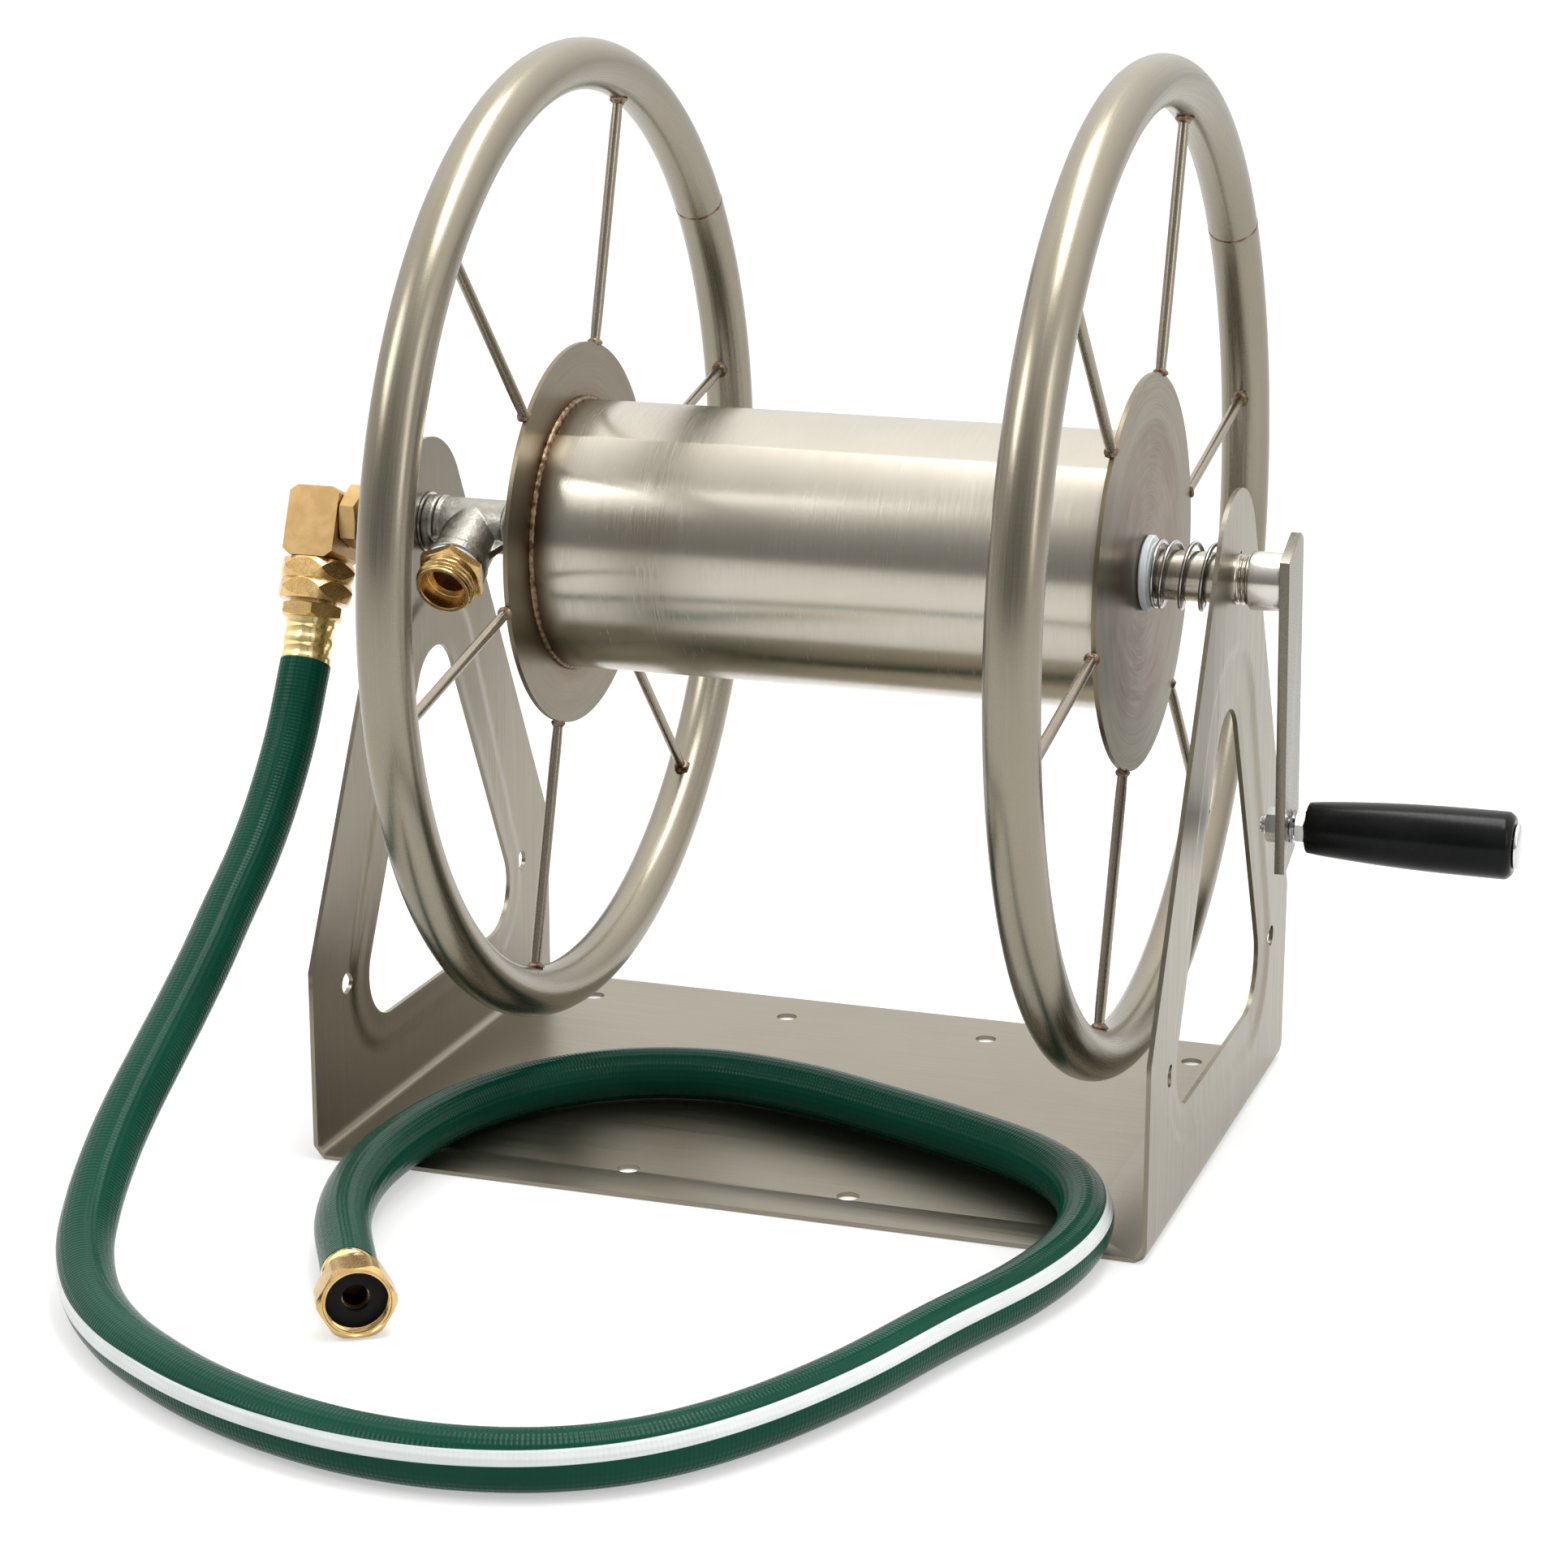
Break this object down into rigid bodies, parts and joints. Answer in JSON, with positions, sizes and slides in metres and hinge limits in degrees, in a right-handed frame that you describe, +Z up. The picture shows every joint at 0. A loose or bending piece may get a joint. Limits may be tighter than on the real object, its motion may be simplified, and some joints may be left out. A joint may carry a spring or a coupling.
{
  "type": "garden hose reel",
  "caption": "Stationary garden hose reel: bent sheet frame, spoked rims around a drum, side crank with a turning grip, swivel inlet and a short green supply hose.",
  "frame": {"origin": "middle of the underside of the base plate, on the surface the reel stands on", "axes": "+X along the axle from the swivel to the crank, +Y towards the back, +Z up"},
  "size_m": [0.5581, 0.6364, 0.4687],
  "materials": {
    "frame_steel": "mill-finish stainless sheet, fine scratches",
    "reel_steel": "brushed stainless with brown heat tint by the welds",
    "arm_steel": "satin flat bar",
    "bright_steel": "bright zinc plate",
    "cast_steel": "cast stainless, lightly blasted",
    "brass": "machined, slightly dull",
    "ferrule_brass": "bright crimped sleeve",
    "black_rubber": "smooth black rubber",
    "grip_black": "satin black, worn at its outer edge",
    "hose_green": "glossy ribbed hose with one pale stripe",
    "white_nylon": "smooth white nylon"
  },
  "bodies": {
    "frame": {"base_plate": "frame_steel", "side_plate_left": "frame_steel", "side_plate_right": "frame_steel", "swivel_body": "brass", "swivel_end_screw": "black_rubber", "port_nut": "brass", "hose_tail": "brass", "inlet_ferrule": "ferrule_brass", "hose": "hose_green", "coupling_ferrule": "ferrule_brass", "coupling_tail": "brass"},
    "reel": {"swivel_stem": "brass", "swivel_seals": "black_rubber", "thrust_washer": "bright_steel", "axle_tee": "cast_steel", "outlet_gasket": "white_nylon", "outlet_adapter": "brass", "axle_pipe": "reel_steel", "drum": "reel_steel", "hub_disc_left": "reel_steel", "hub_disc_right": "reel_steel", "rim_left": "reel_steel", "rim_right": "reel_steel", "spokes_left": "reel_steel", "spokes_right": "reel_steel", "nylon_washer": "white_nylon", "axle_spring": "bright_steel", "crank_collar": "bright_steel", "crank_arm": "arm_steel", "arm_nut": "bright_steel", "lock_washer": "bright_steel", "jam_nut": "bright_steel", "grip_bolt": "bright_steel"},
    "grip": {"grip": "grip_black"},
    "coupling": {"coupling_nut": "brass", "coupling_washer": "black_rubber"}
  },
  "joints": [
    {"name": "reel_spin", "type": "hinge", "parent": "frame", "child": "reel", "pos_m": [0, 0, 0.2545], "axis": [1, 0, 0], "continuous": true},
    {"name": "grip_spin", "type": "hinge", "parent": "reel", "child": "grip", "pos_m": [0.2595, 0.00938, 0.14731], "axis": [1, 0, 0], "continuous": true},
    {"name": "coupling_spin", "type": "hinge", "parent": "frame", "child": "coupling", "pos_m": [-0.084, -0.3037, 0.0152], "axis": [0.515, -0.8572, 0], "continuous": true}
  ]
}
